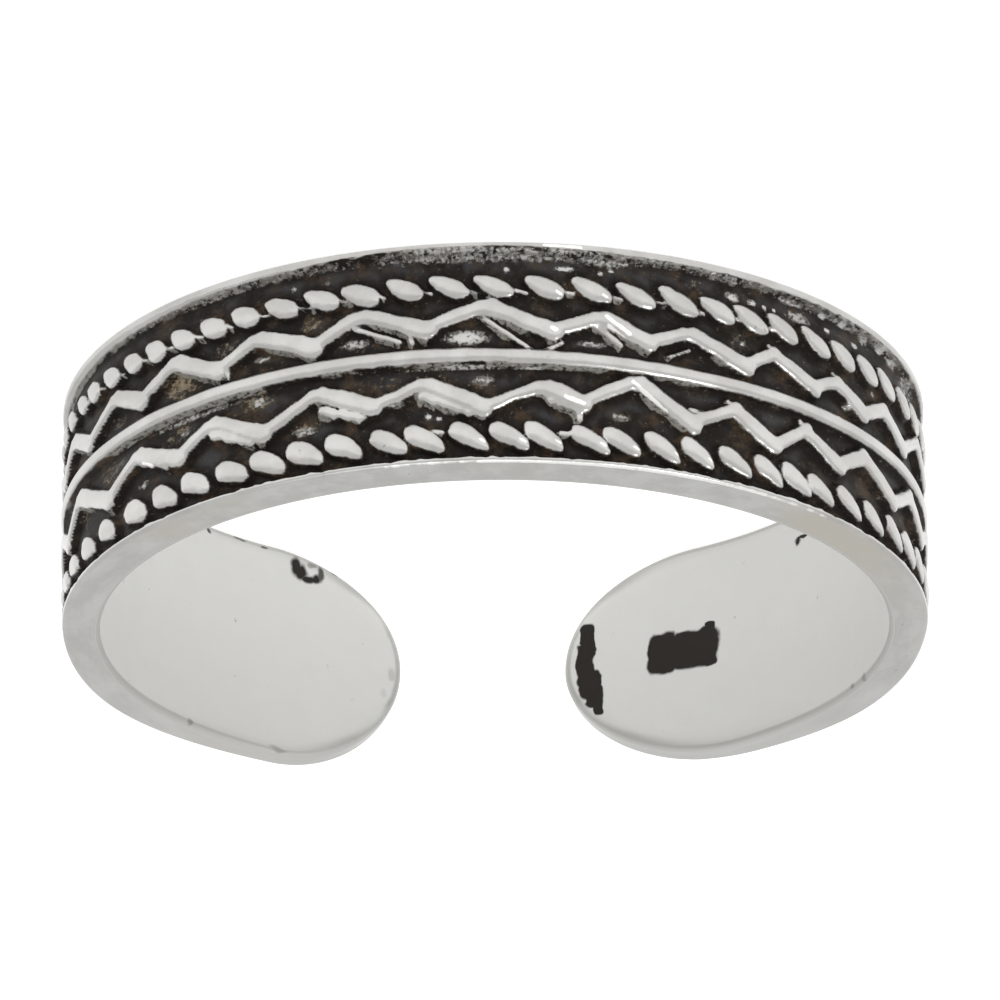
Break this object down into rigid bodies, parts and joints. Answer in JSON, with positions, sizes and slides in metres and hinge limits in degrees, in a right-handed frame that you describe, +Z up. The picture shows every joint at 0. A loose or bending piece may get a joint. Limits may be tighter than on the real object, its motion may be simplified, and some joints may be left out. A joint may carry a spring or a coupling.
{
  "type": "adjustable toe ring",
  "caption": "Open cast band worn on a toe, with rounded ends, two polished rims and a dark sunk field carrying a rib, zigzag ridges and rope lines.",
  "frame": {"origin": "on the bore's axis, in the plane of the lower rim that the ring rests on", "axes": "+Z up along the bore; the middle of the patterned front faces -Y and the gap between the ends faces +Y"},
  "size_m": [0.017, 0.0168, 0.0046],
  "materials": {
    "silver": "polished raised work, rims and bore; the sunk field is oxidised nearly black"
  },
  "bodies": {
    "root": {"band": "silver"}
  },
  "joints": []
}
